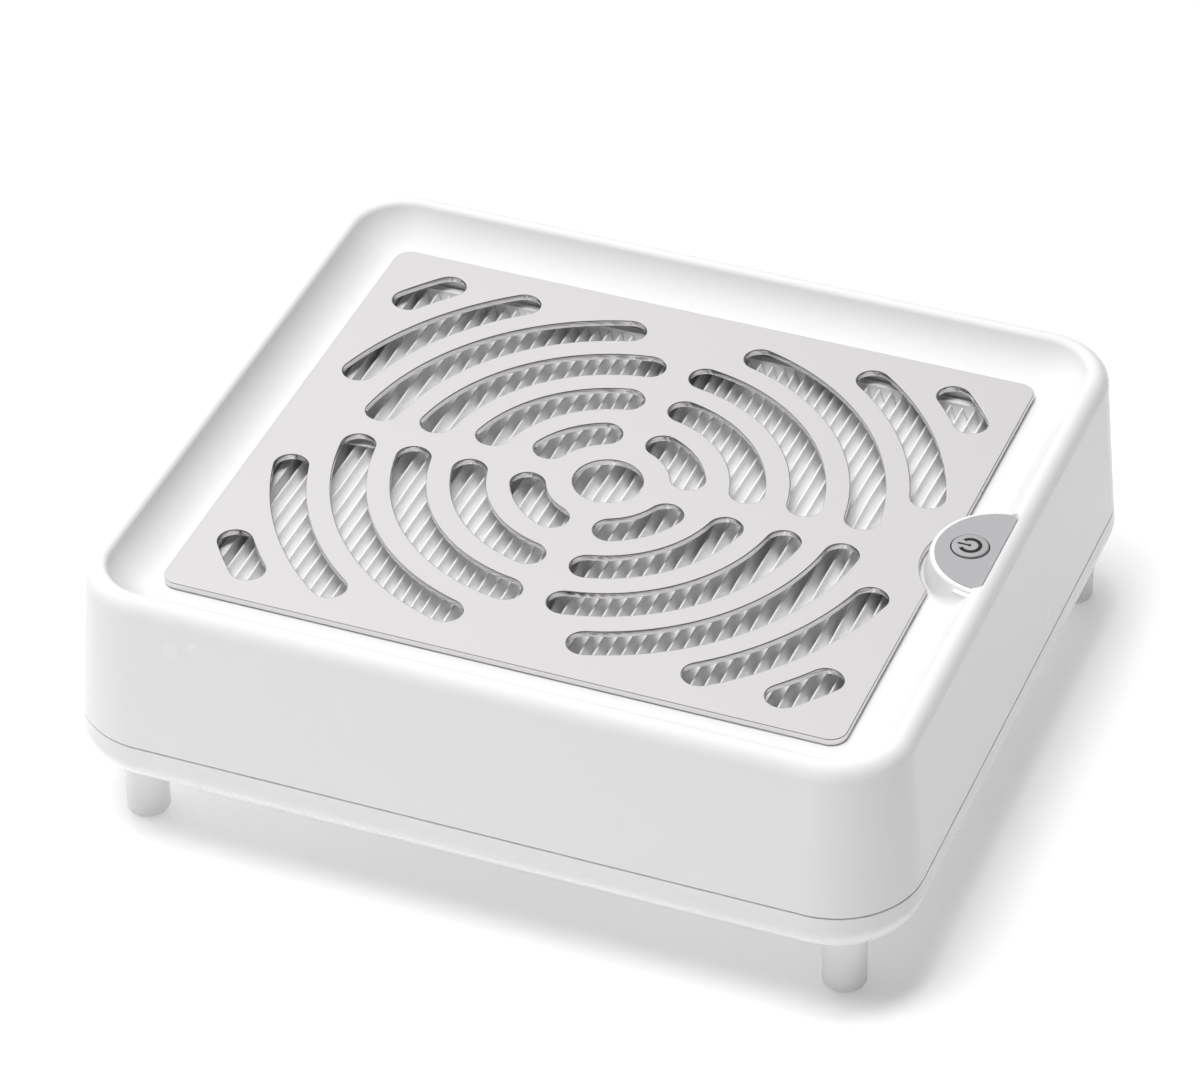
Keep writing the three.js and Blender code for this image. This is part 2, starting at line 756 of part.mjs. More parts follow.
place("control_board", makeControlBoard(), "green");
place("switch_body", makeSwitchBody(), "black");
place("switch_plunger", makeSwitchPlunger(), "black");
place("motor_driver_chip", makeChip(98, 6, 2.5, 3, 1.4), "black");
place("board_capacitor", makeChip(98, -8, 3, 3, 6), "black");
for (const side of [1, -1]) {
  const name = side > 0 ? "board_screw_rear" : "board_screw_front";
  const seat = board.z - board.thickness / 2 - GAP;
  place(name, makeScrew(board.x, side * board.postY, seat, 5.5, 1, 2.1, 1.5, true), "zinc");
}
place("dc_inlet", makeInlet(), "black");
place("dc_inlet_nut", makeInletNut(), "zinc");
place(
  "fan_lead",
  makeLead(1.5, [
    [98, -13.5, 59.9],
    [98, -13.8, 54],
    [97, -15, 38],
    [92, -16.5, 30],
    [80, -17, 27.5],
    [60.6, -17, 27.5],
  ]),
  "black",
);
place(
  "supply_lead",
  makeLead(1.5, [
    [60, 85.7, 52],
    [60, 84, 52],
    [66, 81, 51.5],
    [86, 81, 52],
    [94.5, 70, 53],
    [94, 36, 54],
    [93.2, 18, 54],
    [93.2, 12, 56],
    [93.2, 12, 59.9],
  ]),
  "black",
);

export default root;
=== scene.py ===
"""A nail dust collector, dressed for its picture.

A low white box on four round legs, with a slotted steel plate over a pleated filter, a half-moon
silver panel with the power button, and a fan underneath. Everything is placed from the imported
frame's own nodes, in metres, with Z up.
"""

import json
import logging
import math
from dataclasses import dataclass
from enum import Enum

import bmesh
import bpy
from mathutils import Matrix, Vector

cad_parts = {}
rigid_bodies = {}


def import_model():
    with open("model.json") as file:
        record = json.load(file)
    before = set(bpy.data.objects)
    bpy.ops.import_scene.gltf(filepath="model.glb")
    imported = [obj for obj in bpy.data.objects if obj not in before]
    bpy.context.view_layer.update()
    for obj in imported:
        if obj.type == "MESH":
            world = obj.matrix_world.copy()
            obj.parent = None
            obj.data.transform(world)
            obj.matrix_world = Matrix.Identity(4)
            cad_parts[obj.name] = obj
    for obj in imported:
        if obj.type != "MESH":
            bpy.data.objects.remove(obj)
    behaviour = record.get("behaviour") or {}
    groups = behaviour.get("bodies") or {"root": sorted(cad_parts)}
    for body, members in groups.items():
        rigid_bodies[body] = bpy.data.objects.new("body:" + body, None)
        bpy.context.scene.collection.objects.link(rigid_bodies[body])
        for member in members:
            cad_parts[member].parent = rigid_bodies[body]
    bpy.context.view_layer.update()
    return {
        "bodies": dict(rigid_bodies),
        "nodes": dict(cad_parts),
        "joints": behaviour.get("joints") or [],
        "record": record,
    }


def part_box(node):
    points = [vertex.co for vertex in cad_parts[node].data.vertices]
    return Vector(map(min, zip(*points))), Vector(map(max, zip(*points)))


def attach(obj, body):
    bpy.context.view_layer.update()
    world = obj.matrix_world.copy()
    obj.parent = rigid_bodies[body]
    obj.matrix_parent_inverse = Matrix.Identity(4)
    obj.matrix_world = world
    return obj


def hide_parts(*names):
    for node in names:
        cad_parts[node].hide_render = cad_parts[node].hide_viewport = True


LOG = logging.getLogger("nail_dust_collector")
MM = 0.001

Point = tuple[float, float]
Outline = list[Point]


# ------------------------------------------------------------------ small geometry helpers
def arc(centre: Point, radius: float, start: float, end: float, steps: int) -> Outline:
    """Points along part of a circle.

    Args:
        centre: middle of the circle.
        radius: its radius.
        start: first angle, in degrees.
        end: last angle, in degrees.
        steps: number of equal steps between them.

    Returns:
        The points, both ends included.
    """
    angles = [math.radians(start + (end - start) * i / steps) for i in range(steps + 1)]
    return [(centre[0] + radius * math.cos(a), centre[1] + radius * math.sin(a)) for a in angles]


def round_rectangle(half_x: float, half_y: float, radius: float, steps: int = 12) -> Outline:
    """The outline of a rectangle with round corners, centred on the origin.

    Args:
        half_x: half its length.
        half_y: half its depth.
        radius: corner radius.
        steps: steps in each corner.

    Returns:
        The outline, counter-clockwise.
    """
    x, y = half_x - radius, half_y - radius
    corners = [((x, y), 0), ((-x, y), 90), ((-x, -y), 180), ((x, -y), 270)]
    return [p for centre, turn in corners for p in arc(centre, radius, turn, turn + 90, steps)]


def arc_slot(radius: float, half_width: float, start: float, end: float) -> Outline:
    """The outline of a slot that follows a circle about the origin and has round ends.

    Args:
        radius: radius of the slot's middle line.
        half_width: half the slot's width.
        start: angle of the first end's centre, in degrees.
        end: angle of the last end's centre, in degrees.

    Returns:
        The outline, counter-clockwise.
    """
    steps = max(6, int((end - start) * radius / (160 * MM)))
    tip_1 = (radius * math.cos(math.radians(end)), radius * math.sin(math.radians(end)))
    tip_0 = (radius * math.cos(math.radians(start)), radius * math.sin(math.radians(start)))
    outer = arc((0, 0), radius + half_width, start, end, steps)
    far_end = arc(tip_1, half_width, end, end + 180, 14)[1:-1]
    inner = arc((0, 0), radius - half_width, end, start, steps)
    near_end = arc(tip_0, half_width, start + 180, start + 360, 14)[1:-1]
    return outer + far_end + inner + near_end


def half_moon(centre_x: float, radius: float, corner: float, steps: int = 40) -> Outline:
    """The outline of a half disc whose flat side faces +X and whose two corners are round.

    Args:
        centre_x: place of the flat side.
        radius: the disc's radius.
        corner: radius of the two corners.
        steps: steps along the large arc.

    Returns:
        The outline, counter-clockwise.
    """
    reach = math.sqrt((radius - corner) ** 2 - corner**2)
    turn = math.degrees(math.atan2(reach, -corner))
    upper = arc((centre_x - corner, reach), corner, 0, turn, 8)
    large = arc((centre_x, 0), radius, turn, 360 - turn, steps)[1:-1]
    lower = arc((centre_x - corner, -reach), corner, 360 - turn, 360, 8)
    return upper + large + lower


def new_edges_of(parts: list, verts: set) -> list:
    """The edges among some new geometry that lie wholly between the given vertices.

    Args:
        parts: the geometry that an operator returned.
        verts: the vertices that both ends must be among.

    Returns:
        The edges.
    """
    edges = [g for g in parts if isinstance(g, bmesh.types.BMEdge)]
    return [e for e in edges if e.verts[0] in verts and e.verts[1] in verts]


def sweep_round_rectangle(
    bm: bmesh.types.BMesh, profile: Outline, axis_x: float, axis_y: float, steps: int = 16
) -> None:
    """Carries a profile once round a rectangle with round corners.

    Args:
        bm: mesh that receives the skin.
        profile: reach and height pairs; the reach counts outwards from the corner's axis.
        axis_x: distance of the corner axes from the centre along X.
        axis_y: the same along Y.
        steps: steps in each corner.
    """
    made = bmesh.new()
    verts = [made.verts.new((axis_x + reach, -axis_y, height)) for reach, height in profile]
    leading = [made.edges.new(pair) for pair in zip(verts, verts[1:])]
    corners = [(axis_x, axis_y), (-axis_x, axis_y), (-axis_x, -axis_y), (axis_x, -axis_y)]
    runs = [(0, 2 * axis_y), (-2 * axis_x, 0), (0, -2 * axis_y), (2 * axis_x, 0)]
    for corner, run in zip(corners, runs):
        moved = bmesh.ops.extrude_edge_only(made, edges=leading)["geom"]
        ends = {g for g in moved if isinstance(g, bmesh.types.BMVert)}
        bmesh.ops.translate(made, verts=list(ends), vec=(*run, 0))
        leading = new_edges_of(moved, ends)
        turned = bmesh.ops.spin(
            made,
            geom=list(ends) + leading,
            cent=(*corner, 0),
            axis=(0, 0, 1),
            angle=math.pi / 2,
            steps=steps,
        )["geom_last"]
        ends = {g for g in turned if isinstance(g, bmesh.types.BMVert)}
        leading = new_edges_of(turned, ends)
    bmesh.ops.remove_doubles(made, verts=made.verts, dist=0.01 * MM)
    join_into(bm, made)


def join_into(bm: bmesh.types.BMesh, part: bmesh.types.BMesh) -> None:
    """Adds one bmesh to another and frees the first.

    Args:
        bm: the mesh that receives the other.
        part: the mesh to add, freed afterwards.
    """
    mesh = bpy.data.meshes.new("part")
    part.to_mesh(mesh)
    part.free()
    bm.from_mesh(mesh)
    bpy.data.meshes.remove(mesh)


def spin_profile(
    bm: bmesh.types.BMesh, profile: Outline, centre: Point, steps: int = 64
) -> None:
    """Turns a profile of radius and height pairs once about an upright axis.

    Args:
        bm: mesh that receives the turned skin.
        profile: radius and height pairs, from the lower end to the upper one.
        centre: place of the axis.
        steps: steps round the full circle.
    """
    made = bmesh.new()
    verts = [made.verts.new((centre[0] + r, centre[1], z)) for r, z in profile]
    edges = [made.edges.new(pair) for pair in zip(verts, verts[1:])]
    bmesh.ops.spin(
        made,
        geom=verts + edges,
        cent=(*centre, 0),
        axis=(0, 0, 1),
        angle=2 * math.pi,
        steps=steps,
        use_merge=True,
    )
    bmesh.ops.remove_doubles(made, verts=made.verts, dist=0.005 * MM)
    bmesh.ops.recalc_face_normals(made, faces=made.faces)
    join_into(bm, made)


def loft(bm: bmesh.types.BMesh, sections: list[list[Vector]], closed: bool) -> None:
    """Draws a skin through sections that all have the same number of places.

    Args:
        bm: mesh that receives the skin.
        sections: the places of each section, in the same order.
        closed: whether each section is a closed loop.
    """
    made = bmesh.new()
    verts = [made.verts.new(place) for place in sections[0]]
    after = verts[1:] + verts[:1] if closed else verts[1:]
    leading = [made.edges.new(pair) for pair in zip(verts, after)]
    for section in sections[1:]:
        moved = bmesh.ops.extrude_edge_only(made, edges=leading)["geom"]
        ends = {g for g in moved if isinstance(g, bmesh.types.BMVert)}
        leading = new_edges_of(moved, ends)
        partner = {e.other_vert(v): v for v in ends for e in v.link_edges}
        verts = [partner[vert] for vert in verts]
        for vert, place in zip(verts, section):
            vert.co = place
    bmesh.ops.recalc_face_normals(made, faces=made.faces)
    join_into(bm, made)


def widened(outline: Outline, offset: float) -> Outline:
    """Moves each point of a counter-clockwise closed outline outwards.

    Args:
        outline: the outline.
        offset: how far its points move; negative moves them inwards.

    Returns:
        The moved points, in the same order.
    """
    moved = []
    for i, (x, y) in enumerate(outline):
        before, after = outline[i - 1], outline[(i + 1) % len(outline)]
        along = Vector((after[0] - before[0], after[1] - before[1])).normalized()
        moved.append((x + along.y * offset, y - along.x * offset))
    return moved


def flat_plate(
    bm: bmesh.types.BMesh, outlines: list[Outline], low: float, high: float, edge: float
) -> None:
    """Makes a flat plate with holes and softened upper and lower edges.

    Args:
        bm: mesh that receives the plate.
        outlines: the outer outline first, then one for each hole.
        low: height of the underside.
        high: height of the top.
        edge: width of the softened edges; none are made at 0.
    """
    made = bmesh.new()
    borders = []
    for outline in outlines:
        verts = [made.verts.new((x, y, low)) for x, y in outline]
        borders += [made.edges.new(pair) for pair in zip(verts, verts[1:] + verts[:1])]
    bmesh.ops.triangle_fill(made, use_beauty=True, use_dissolve=False, edges=borders)
    faces = list(made.faces)
    raised = bmesh.ops.extrude_face_region(made, geom=faces)["geom"]
    top = [g for g in raised if isinstance(g, bmesh.types.BMVert)]
    bmesh.ops.translate(made, verts=top, vec=(0, 0, high - low))
    bmesh.ops.recalc_face_normals(made, faces=made.faces)
    if edge > 0:
        sharp = [e for e in made.edges if e.is_manifold and e.calc_face_angle() > math.radians(60)]
        rims = [e for e in sharp if abs(e.verts[0].co.z - e.verts[1].co.z) < 1e-9]
        bmesh.ops.bevel(
            made,
            geom=rims,
            offset=edge,
            offset_type="OFFSET",
            affect="EDGES",
            segments=3,
            profile=0.5,
            material=-1,
        )
    join_into(bm, made)


def finish_mesh(
    bm: bmesh.types.BMesh, name: str, smooth_below: float = 35.0, crisp_levels: bool = False
) -> bpy.types.Object:
    """Turns a bmesh into an object at the origin, smooth except across sharp edges.

    Args:
        bm: the shape; it is freed.
        name: name of the piece.
        smooth_below: edges that turn less than this many degrees are shaded smooth.
        crisp_levels: keeps the shading of level faces apart from their softened borders.

    Returns:
        The new object.
    """
    mesh = bpy.data.meshes.new(name)
    for face in bm.faces:
        face.smooth = True
    limit = math.radians(smooth_below)
    bm.normal_update()
    for edge in bm.edges:
        level = [abs(face.normal.z) > 0.99999 for face in edge.link_faces]
        edge.smooth = edge.is_manifold and edge.calc_face_angle() < limit
        edge.smooth = edge.smooth and not (crisp_levels and any(level) and not all(level))
    bm.to_mesh(mesh)
    bm.free()
    piece = bpy.data.objects.new(name, mesh)
    bpy.context.scene.collection.objects.link(piece)
    return piece


def apply_cut(piece: bpy.types.Object, cutter: bpy.types.Object) -> None:
    """Cuts one closed piece with another and removes the second.

    Args:
        piece: the piece that is changed.
        cutter: the piece that cuts it.
    """
    modifier = piece.modifiers.new("cut", "BOOLEAN")
    modifier.operation = "DIFFERENCE"
    modifier.solver = "EXACT"
    modifier.object = cutter
    depsgraph = bpy.context.evaluated_depsgraph_get()
    cut = bpy.data.meshes.new_from_object(piece.evaluated_get(depsgraph))
    piece.modifiers.clear()
    old = piece.data
    piece.data = cut
    cut.name = piece.name
    bpy.data.meshes.remove(old)
    bpy.data.objects.remove(cutter)


def settle_normals(piece: bpy.types.Object) -> None:
    """Lets the large flat faces of a moulded piece keep their own direction in shading.

    Args:
        piece: the piece whose shading is settled.
    """
    modifier = piece.modifiers.new("weighted_normals", "WEIGHTED_NORMAL")
    modifier.weight = 80
    modifier.keep_sharp = True


# ------------------------------------------------------------------ finishes
class Slot(Enum):
    """The record's material slots."""

    SHELL = "shell_white"
    STEEL = "plate_steel"
    PANEL = "panel_silver"
    BUTTON = "button_silver"
    FLEECE = "filter_fleece"
    FOAM = "foam_dark"
    PAD = "pad_rubber"
    BLACK = "black_plastic"
    ZINC = "zinc_steel"
    COPPER = "copper_wire"
    BOARD = "board_green"


@dataclass(frozen=True)
class Finish:
    """A surface with a base colour, fine colour mottling, and a relief from noise.

    The grain is the size of the relief's largest lumps; stretch pulls the noise along one axis,
    as brushing does.
    """

    name: str
    colour: tuple[float, float, float]
    roughness: float
    metallic: float = 0.0
    mottling: float = 0.03
    mottle_size: float = 0.02
    grain: float = 0.0006
    relief: float = 0.00001
    roughness_spread: float = 0.04
    stretch: tuple[float, float, float] = (1.0, 1.0, 1.0)
    coat: float = 0.0
    coat_roughness: float = 0.05
    sheen: float = 0.0
    specular: float = 0.5
    anisotropy: float = 0.0
    translucency: float = 0.0

    def build(self) -> bpy.types.Material:
        """Makes the node material.

        Returns:
            The material, ready to assign.
        """
        material = bpy.data.materials.new(self.name)
        material.use_nodes = True
        nodes, links = material.node_tree.nodes, material.node_tree.links
        shader = nodes["Principled BSDF"]
        shader.inputs["Metallic"].default_value = self.metallic
        shader.inputs["Coat Weight"].default_value = self.coat
        shader.inputs["Coat Roughness"].default_value = self.coat_roughness
        shader.inputs["Sheen Weight"].default_value = self.sheen
        shader.inputs["Specular IOR Level"].default_value = self.specular
        shader.inputs["Anisotropic"].default_value = self.anisotropy
        place = nodes.new("ShaderNodeTexCoord")
        stretched = nodes.new("ShaderNodeMapping")
        stretched.inputs["Scale"].default_value = self.stretch
        links.new(place.outputs["Object"], stretched.inputs["Vector"])

        broad = nodes.new("ShaderNodeTexNoise")
        broad.inputs["Scale"].default_value = 1 / self.mottle_size
        broad.inputs["Detail"].default_value = 3
        links.new(stretched.outputs["Vector"], broad.inputs["Vector"])
        ramp = nodes.new("ShaderNodeMix")
        ramp.data_type = "RGBA"
        darker = [c * (1 - self.mottling) for c in self.colour]
        lighter = [min(c * (1 + self.mottling), 1.0) for c in self.colour]
        ramp.inputs["A"].default_value = (*darker, 1)
        ramp.inputs["B"].default_value = (*lighter, 1)
        links.new(broad.outputs["Fac"], ramp.inputs["Factor"])
        links.new(ramp.outputs["Result"], shader.inputs["Base Color"])

        spread = nodes.new("ShaderNodeMapRange")
        spread.inputs["To Min"].default_value = max(self.roughness - self.roughness_spread, 0.02)
        spread.inputs["To Max"].default_value = self.roughness + self.roughness_spread
        links.new(broad.outputs["Fac"], spread.inputs["Value"])
        links.new(spread.outputs["Result"], shader.inputs["Roughness"])

        fine = nodes.new("ShaderNodeTexNoise")
        fine.inputs["Scale"].default_value = 1 / self.grain
        fine.inputs["Detail"].default_value = 2
        links.new(stretched.outputs["Vector"], fine.inputs["Vector"])
        bump = nodes.new("ShaderNodeBump")
        bump.inputs["Distance"].default_value = self.relief
        bump.inputs["Strength"].default_value = 1.0
        links.new(fine.outputs["Fac"], bump.inputs["Height"])
        links.new(bump.outputs["Normal"], shader.inputs["Normal"])
        if self.translucency:
            shader.inputs["Subsurface Weight"].default_value = self.translucency
            shader.inputs["Subsurface Radius"].default_value = (1.0, 1.0, 1.0)
            shader.inputs["Subsurface Scale"].default_value = 0.002
        return material


FINISHES = {
    Slot.SHELL: Finish(
        "moulded_white",
        (0.88, 0.88, 0.885),
        0.26,
        mottling=0.006,
        mottle_size=0.05,
        grain=0.0016,
        relief=0.0000012,
        roughness_spread=0.03,
        coat=0.08,
        coat_roughness=0.12,
        specular=0.34,
    ),
    Slot.STEEL: Finish(
        "satin_steel",
        (0.71, 0.695, 0.697),
        0.13,
        metallic=1.0,
        mottling=0.015,
        mottle_size=0.06,
        grain=0.0007,
        relief=0.0000008,
        roughness_spread=0.025,
        stretch=(0.06, 1.0, 1.0),
    ),
    Slot.PANEL: Finish(
        "silver_paint",
        (0.53, 0.53, 0.55),
        0.4,
        metallic=0.7,
        mottling=0.05,
        mottle_size=0.0009,
        grain=0.00028,
        relief=0.000006,
    ),
    Slot.BUTTON: Finish(
        "silver_cap",
        (0.5, 0.5, 0.51),
        0.36,
        metallic=0.7,
        mottling=0.04,
        mottle_size=0.0009,
        grain=0.00028,
        relief=0.000005,
    ),
    Slot.FLEECE: Finish(
        "filter_fleece",
        (0.955, 0.955, 0.955),
        0.75,
        mottling=0.02,
        mottle_size=0.0035,
        grain=0.0004,
        relief=0.00006,
        sheen=0.25,
    ),
    Slot.FOAM: Finish(
        "foam",
        (0.05, 0.052, 0.055),
        0.95,
        mottling=0.2,
        grain=0.0008,
        relief=0.0002,
    ),
    Slot.PAD: Finish(
        "pad_rubber",
        (0.32, 0.33, 0.34),
        0.8,
        mottling=0.08,
        grain=0.0005,
        relief=0.00004,
    ),
    Slot.BLACK: Finish(
        "black_plastic",
        (0.012, 0.012, 0.013),
        0.6,
        mottling=0.15,
        grain=0.0005,
        relief=0.00002,
    ),
    Slot.ZINC: Finish(
        "zinc_plating",
        (0.62, 0.63, 0.66),
        0.28,
        metallic=1.0,
        mottling=0.06,
        grain=0.0008,
        relief=0.00001,
    ),
    Slot.COPPER: Finish(
        "windings",
        (0.62, 0.3, 0.14),
        0.35,
        metallic=0.9,
        mottling=0.1,
        grain=0.0004,
        relief=0.00008,
        stretch=(1.0, 1.0, 6.0),
    ),
    Slot.BOARD: Finish(
        "solder_mask",
        (0.02, 0.17, 0.07),
        0.4,
        mottling=0.12,
        grain=0.0006,
        relief=0.00001,
        coat=0.3,
    ),
}


class Wardrobe:
    """Makes each finish once and dresses pieces and CAD nodes with it."""

    def __init__(self) -> None:
        """Builds every finish."""
        self.materials = {slot: finish.build() for slot, finish in FINISHES.items()}

    def dress(self, piece: bpy.types.Object, slot: Slot) -> None:
        """Gives a piece the one finish of a slot.

        Args:
            piece: the object to dress.
            slot: the record's slot whose finish it takes.
        """
        piece.data.materials.clear()
        piece.data.materials.append(self.materials[slot])

    def dress_node(self, node: bpy.types.Object, slot: Slot) -> None:
        """Swaps the material of a CAD node, leaving its mesh alone.

        Args:
            node: the CAD node.
            slot: the record's slot whose finish it takes.
        """
        for holder in node.material_slots:
            holder.link = "OBJECT"
            holder.material = self.materials[slot]


@dataclass
class Piece:
    """How a made piece is bound to the frame."""

    wardrobe: Wardrobe

    def bind(
        self, made: bpy.types.Object, body: str, slot: Slot, replaces: tuple[str, ...]
    ) -> None:
        """Dresses a piece, rides it on its body and hides the CAD nodes it stands for.

        Args:
            made: the piece.
            body: the body that carries it.
            slot: the record's slot.
            replaces: the CAD nodes that it stands for.
        """
        self.wardrobe.dress(made, slot)
        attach(made, body)
        if replaces:
            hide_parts(*replaces)
        LOG.info("%s: %d faces, on %s", made.name, len(made.data.polygons), body)


# ------------------------------------------------------------------ the shell
@dataclass
class Shell(Piece):
    """The white upper housing: upright walls, rounded rim, dished tray, boss and filter well."""

    corner_x: float = 90.2 * MM
    corner_y: float = 78.2 * MM
    corner_radius: float = 20 * MM
    wall_top: float = 73.2 * MM
    rim_radius: float = 4 * MM
    flare: float = 0.083
    seam_low: float = 33.55 * MM
    wall: float = 2.5 * MM
    tray_floor: float = 68.9 * MM
    dish_start: float = 2.4 * MM
    inner_lip: float = 1.9 * MM
    well_half_x: float = 85.5 * MM
    well_half_y: float = 73 * MM
    well_wall: float = 2.2 * MM
    well_floor: float = 44.6 * MM
    ledge_top: float = 49 * MM
    inlet_radius: float = 56.5 * MM
    boss_x: float = 106 * MM
    boss_top: float = 76.3 * MM
    seat_radius: float = 16.42 * MM
    boss_lip: float = 0.35 * MM
    boss_roll: float = 1.0 * MM
    boss_draft: float = 1.15 * MM
    boss_foot: float = 1.5 * MM
    boss_foot_start: float = 93 * MM
    boss_foot_growth: float = 0.44
    corner_steps: int = 32
    socket_x: float = 60 * MM
    socket_z: float = 52 * MM
    socket_recess: float = 6.6 * MM
    socket_bore: float = 4.3 * MM
    socket_pad: float = 8.5 * MM
    socket_floor: float = 97.6 * MM
    socket_back: float = 92 * MM

    def wall_reach(self, height: float) -> float:
        """Reach of the outer wall from the corner axis at a height.

        Args:
            height: height above the table.

        Returns:
            The reach, flared below the wall's top.
        """
        return self.corner_radius + self.flare * max(self.wall_top - height, 0)

    def rim_shape(self) -> tuple[float, float, float, float]:
        """Sizes of the dish and the rim's inner rounding, as reaches from the corner axis.

        Returns:
            Reach of the dish's foot, the dish's radius, its end slope in radians, and the
            reach of the crest's inner end.
        """
        crest = self.corner_radius - self.rim_radius - 0.3 * MM
        rise = self.wall_top + self.rim_radius - self.tray_floor
        width = crest - self.dish_start
        slope = 2 * math.atan(rise / width)
        reach = math.sin(slope)
        radius = (rise - self.inner_lip * (1 - math.cos(slope))) / (1 - math.cos(slope))
        spare = width - (radius + self.inner_lip) * reach
        return self.dish_start + spare, radius, slope, crest

    def skin_profile(self) -> Outline:
        """The section of wall, rim and tray, from under the tray floor round to its top.

        Returns:
            Reach and height pairs, the reach counted outwards from the corner axis.
        """
        seam_round = 0.3 * MM
        reach = self.wall_reach(self.seam_low)
        under = self.tray_floor - self.wall
        foot, dish_radius, slope, crest = self.rim_shape()
        crest_height = self.wall_top + self.rim_radius
        inside = [
            (1 * MM, under),
            (foot + 3 * MM, under),
            (foot + 9 * MM, under + 3 * MM),
            (crest + 0.6 * MM, crest_height - 3 * MM),
            (self.corner_radius - self.wall, self.wall_top - 0.5 * MM),
            (reach - self.wall, self.seam_low),
        ]
        seam = arc((reach - seam_round, self.seam_low + seam_round), seam_round, -90, 0, 4)
        outer = self.corner_radius - self.rim_radius
        rim = arc((outer, self.wall_top), self.rim_radius, 0, 90, 16)
        turn = math.degrees(slope)
        lip = arc((crest, crest_height - self.inner_lip), self.inner_lip, 90, 90 + turn, 10)
        dish = arc((foot, self.tray_floor + dish_radius), dish_radius, turn - 90, -90, 22)
        return inside + seam + rim + lip + dish + [(1 * MM, self.tray_floor)]

    def tray_height(self, x: float) -> float:
        """Height of the tray and the rim's inner side at a distance along +X.

        Args:
            x: distance from the centre.

        Returns:
            The height of the skin there.
        """
        foot, dish_radius, slope, crest = self.rim_shape()
        reach = x - self.corner_x
        outer = self.corner_radius - self.rim_radius
        if reach >= outer:
            rest = max(self.rim_radius**2 - (reach - outer) ** 2, 0)
            return self.wall_top + math.sqrt(rest)
        if reach >= crest:
            return self.wall_top + self.rim_radius
        if reach >= crest - self.inner_lip * math.sin(slope):
            rest = max(self.inner_lip**2 - (reach - crest) ** 2, 0)
            return self.wall_top + self.rim_radius - self.inner_lip + math.sqrt(rest)
        if reach <= foot:
            return self.tray_floor
        rest = max(dish_radius**2 - (reach - foot) ** 2, 0)
        return self.tray_floor + dish_radius - math.sqrt(rest)

    def build_skin(self) -> bpy.types.Object:
        """Makes the walls, rim, tray and well as one closed skin.

        Returns:
            The shell without its boss.
        """
        bm = bmesh.new()
        axis = (self.corner_x, self.corner_y)
        sweep_round_rectangle(bm, self.skin_profile(), *axis, self.corner_steps)
        corner = 3 * MM
        outside = corner + self.well_wall
        lead_in = arc((corner + 0.5 * MM, self.tray_floor - 0.5 * MM), 0.5 * MM, 90, 180, 4)
        well = lead_in + [(corner, self.well_floor + 2.2 * MM)]
        well += [(outside, self.well_floor + 2.2 * MM), (outside, self.tray_floor - self.wall)]
        axis = (self.well_half_x - corner, self.well_half_y - corner)
        sweep_round_rectangle(bm, well, *axis, self.corner_steps)
        for height in (self.tray_floor, self.tray_floor - self.wall):
            borders = [e for e in bm.edges if e.is_boundary]
            level = [e for e in borders if all(abs(v.co.z - height) < 0.01 * MM for v in e.verts)]
            bmesh.ops.bridge_loops(bm, edges=level)
        bmesh.ops.recalc_face_normals(bm, faces=bm.faces)
        return finish_mesh(bm, "shell_skin")

    def seat_outline(self) -> Outline:
        """The half-moon recess that takes the silver panel, counter-clockwise.

        Returns:
            The outline, seen from above.
        """
        return half_moon(self.boss_x + 0.12 * MM, self.seat_radius, 2.1 * MM, 72)

    def build_seat_cutter(self) -> bpy.types.Object:
        """The half-moon block, wider upwards, that clears the rim around the silver panel.

        Returns:
            The closed block to cut with.
        """
        heights = [(0.05, -1.1), (0.05, 0.05), (1.0, 1.5)]
        sections = []
        for offset, height in heights:
            ring = widened(self.seat_outline(), offset * MM)
            sections.append([Vector((x, y, self.boss_top + height * MM)) for x, y in ring])
        bm = bmesh.new()
        loft(bm, sections, closed=True)
        middle, near = sections[1][0].z, 0.01 * MM
        bmesh.ops.contextual_create(bm, geom=[v for v in bm.verts if v.co.z < middle - near])
        bmesh.ops.contextual_create(bm, geom=[v for v in bm.verts if v.co.z > middle + near])
        bmesh.ops.recalc_face_normals(bm, faces=bm.faces)
        return finish_mesh(bm, "seat_cutter")

    def build_socket_turning(self, profile: Outline, name: str) -> bpy.types.Object:
        """Turns a profile about the power socket's axis, which runs through the rear wall.

        Args:
            profile: radius and depth pairs, the depth counted along +Y.
            name: name of the mesh.

        Returns:
            The turned piece, standing in the rear wall.
        """
        bm = bmesh.new()
        spin_profile(bm, profile, (0, 0), 48)
        lying = Matrix.Rotation(-math.pi / 2, 3, "X")
        bmesh.ops.rotate(bm, verts=bm.verts, cent=(0, 0, 0), matrix=lying)
        bmesh.ops.translate(bm, verts=bm.verts, vec=(self.socket_x, 0, self.socket_z))
        bmesh.ops.recalc_face_normals(bm, faces=bm.faces)
        return finish_mesh(bm, name)

    def build_socket_cutter(self) -> bpy.types.Object:
        """The round block that opens the rear wall around the power socket's flange.

        Returns:
            The closed block to cut with.
        """
        low, high = self.socket_floor - 0.8 * MM, self.socket_floor + 5 * MM
        block = [(0, low), (self.socket_recess, low), (self.socket_recess, high), (0, high)]
        return self.build_socket_turning(block, "socket_cutter")

    def build_socket_pad(self) -> bpy.types.Object:
        """The ring inside the rear wall that the power socket is clamped to.

        Returns:
            The ring.
        """
        low, high = self.socket_back, self.socket_floor
        ring = [(self.socket_bore, low), (self.socket_pad, low), (self.socket_pad, high)]
        ring += [(self.socket_bore, high), (self.socket_bore, low)]
        return self.build_socket_turning(ring, "socket_pad")

